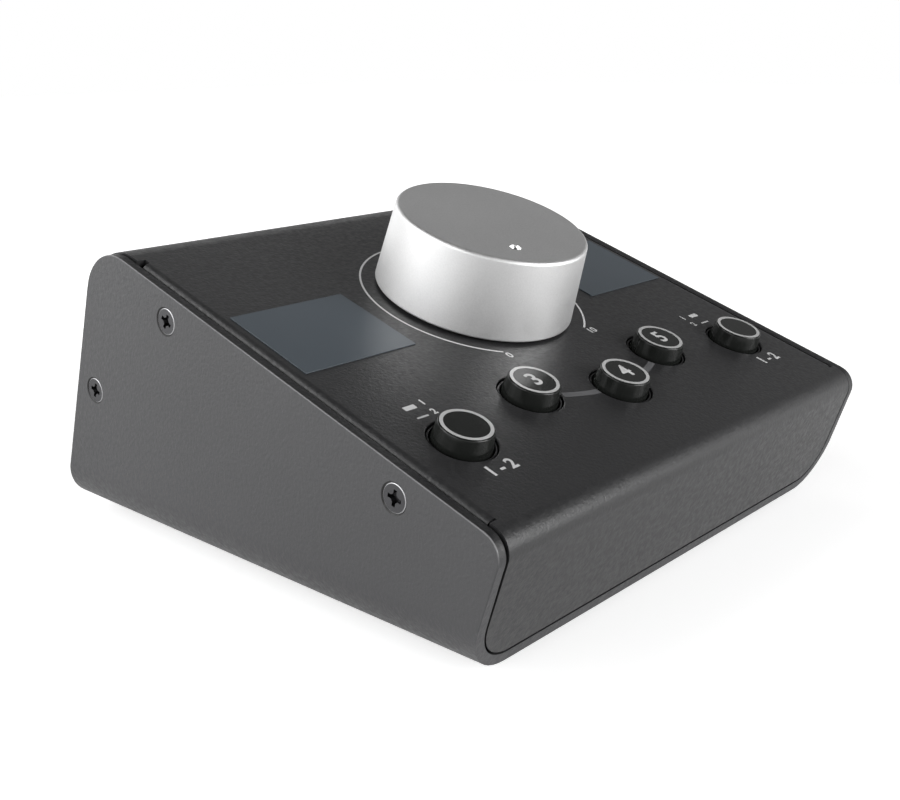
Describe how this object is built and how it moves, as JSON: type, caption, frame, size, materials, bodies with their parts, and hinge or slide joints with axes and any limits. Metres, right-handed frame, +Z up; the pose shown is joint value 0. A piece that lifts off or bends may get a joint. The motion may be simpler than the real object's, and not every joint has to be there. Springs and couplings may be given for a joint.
{
  "type": "studio monitor controller",
  "caption": "Wedge-shaped desktop box of folded steel with a large volume knob, push buttons on its sloping top and jack sockets on its back.",
  "frame": {"origin": "on the table under the middle of the case, midway between its foremost and rearmost points", "axes": "+Z up, -Y towards the user at the low front edge, +X to the user's right"},
  "size_m": [0.145, 0.1486, 0.0839],
  "materials": {
    "case_paint": "fine-textured charcoal powder coat",
    "cover_paint": "fine-textured charcoal powder coat",
    "screw_steel": "dark grey plated steel",
    "plated_steel": "bright zinc plating",
    "foot_rubber": "matte black",
    "plate_film": "blank blue-grey film, satin",
    "knob_aluminium": "satin anodised, turned",
    "knob_core_plastic": "moulded black",
    "pot_steel": "tinned steel can",
    "bushing_brass": "turned brass",
    "shaft_aluminium": "turned aluminium",
    "pin_brass": "tinned brass",
    "board_laminate": "green solder mask on glass-fibre laminate",
    "jack_nut_chrome": "nickel plate",
    "ribbon_vinyl": "grey vinyl",
    "header_plastic": "black",
    "cap_gloss": "near-black gloss",
    "plunger_plastic": "white acetal",
    "spring_steel": "spring wire",
    "switch_plastic": "black",
    "collar_plastic": "black",
    "jack_plastic": "black glass-filled nylon"
  },
  "bodies": {
    "case": {"base_chassis": "case_paint", "top_cover": "cover_paint", "side_screws": "screw_steel", "clinch_nuts": "plated_steel", "rubber_feet": "foot_rubber", "left_label_plate": "plate_film", "right_label_plate": "plate_film", "pot_housing": "pot_steel", "pot_bushing": "bushing_brass", "pot_washer": "plated_steel", "pot_nut": "plated_steel", "pot_pins": "pin_brass", "control_board": "board_laminate", "board_standoffs": "plated_steel", "board_screws": "plated_steel", "jack_board": "board_laminate", "jack_nuts": "jack_nut_chrome", "jack_washers": "jack_nut_chrome", "ribbon_cable": "ribbon_vinyl", "control_header": "header_plastic", "jack_header": "header_plastic", "source_spring": "spring_steel", "source_switch": "switch_plastic", "source_collar": "collar_plastic", "mono_spring": "spring_steel", "mono_switch": "switch_plastic", "mono_collar": "collar_plastic", "mute_spring": "spring_steel", "mute_switch": "switch_plastic", "mute_collar": "collar_plastic", "dim_spring": "spring_steel", "dim_switch": "switch_plastic", "dim_collar": "collar_plastic", "monitor_spring": "spring_steel", "monitor_switch": "switch_plastic", "monitor_collar": "collar_plastic", "source_a_left_jack": "jack_plastic", "source_a_right_jack": "jack_plastic", "source_b_left_jack": "jack_plastic", "source_b_right_jack": "jack_plastic", "monitor_a_left_jack": "jack_plastic", "monitor_a_right_jack": "jack_plastic", "monitor_b_left_jack": "jack_plastic", "monitor_b_right_jack": "jack_plastic"},
    "volume": {"volume_knob": "knob_aluminium", "knob_core": "knob_core_plastic", "pot_shaft": "shaft_aluminium"},
    "source_button": {"source_cap": "cap_gloss", "source_plunger": "plunger_plastic"},
    "mono_button": {"mono_cap": "cap_gloss", "mono_plunger": "plunger_plastic"},
    "mute_button": {"mute_cap": "cap_gloss", "mute_plunger": "plunger_plastic"},
    "dim_button": {"dim_cap": "cap_gloss", "dim_plunger": "plunger_plastic"},
    "monitor_button": {"monitor_cap": "cap_gloss", "monitor_plunger": "plunger_plastic"}
  },
  "joints": [
    {"name": "knob_turn", "type": "hinge", "parent": "case", "child": "volume", "pos_m": [0, -0.00835, 0.0662], "axis": [0, 0.319, -0.9478], "range_deg": [0, 300]},
    {"name": "source_press", "type": "slide", "parent": "case", "child": "source_button", "axis": [0, 0.319, -0.9478], "range_m": [0, 0.0025], "stiffness_N_per_m": 800, "springref_m": -0.001, "deforming": ["source_spring"]},
    {"name": "mono_press", "type": "slide", "parent": "case", "child": "mono_button", "axis": [0, 0.319, -0.9478], "range_m": [0, 0.0025], "stiffness_N_per_m": 800, "springref_m": -0.001, "deforming": ["mono_spring"]},
    {"name": "mute_press", "type": "slide", "parent": "case", "child": "mute_button", "axis": [0, 0.319, -0.9478], "range_m": [0, 0.0025], "stiffness_N_per_m": 800, "springref_m": -0.001, "deforming": ["mute_spring"]},
    {"name": "dim_press", "type": "slide", "parent": "case", "child": "dim_button", "axis": [0, 0.319, -0.9478], "range_m": [0, 0.0025], "stiffness_N_per_m": 800, "springref_m": -0.001, "deforming": ["dim_spring"]},
    {"name": "monitor_press", "type": "slide", "parent": "case", "child": "monitor_button", "axis": [0, 0.319, -0.9478], "range_m": [0, 0.0025], "stiffness_N_per_m": 800, "springref_m": -0.001, "deforming": ["monitor_spring"]}
  ]
}
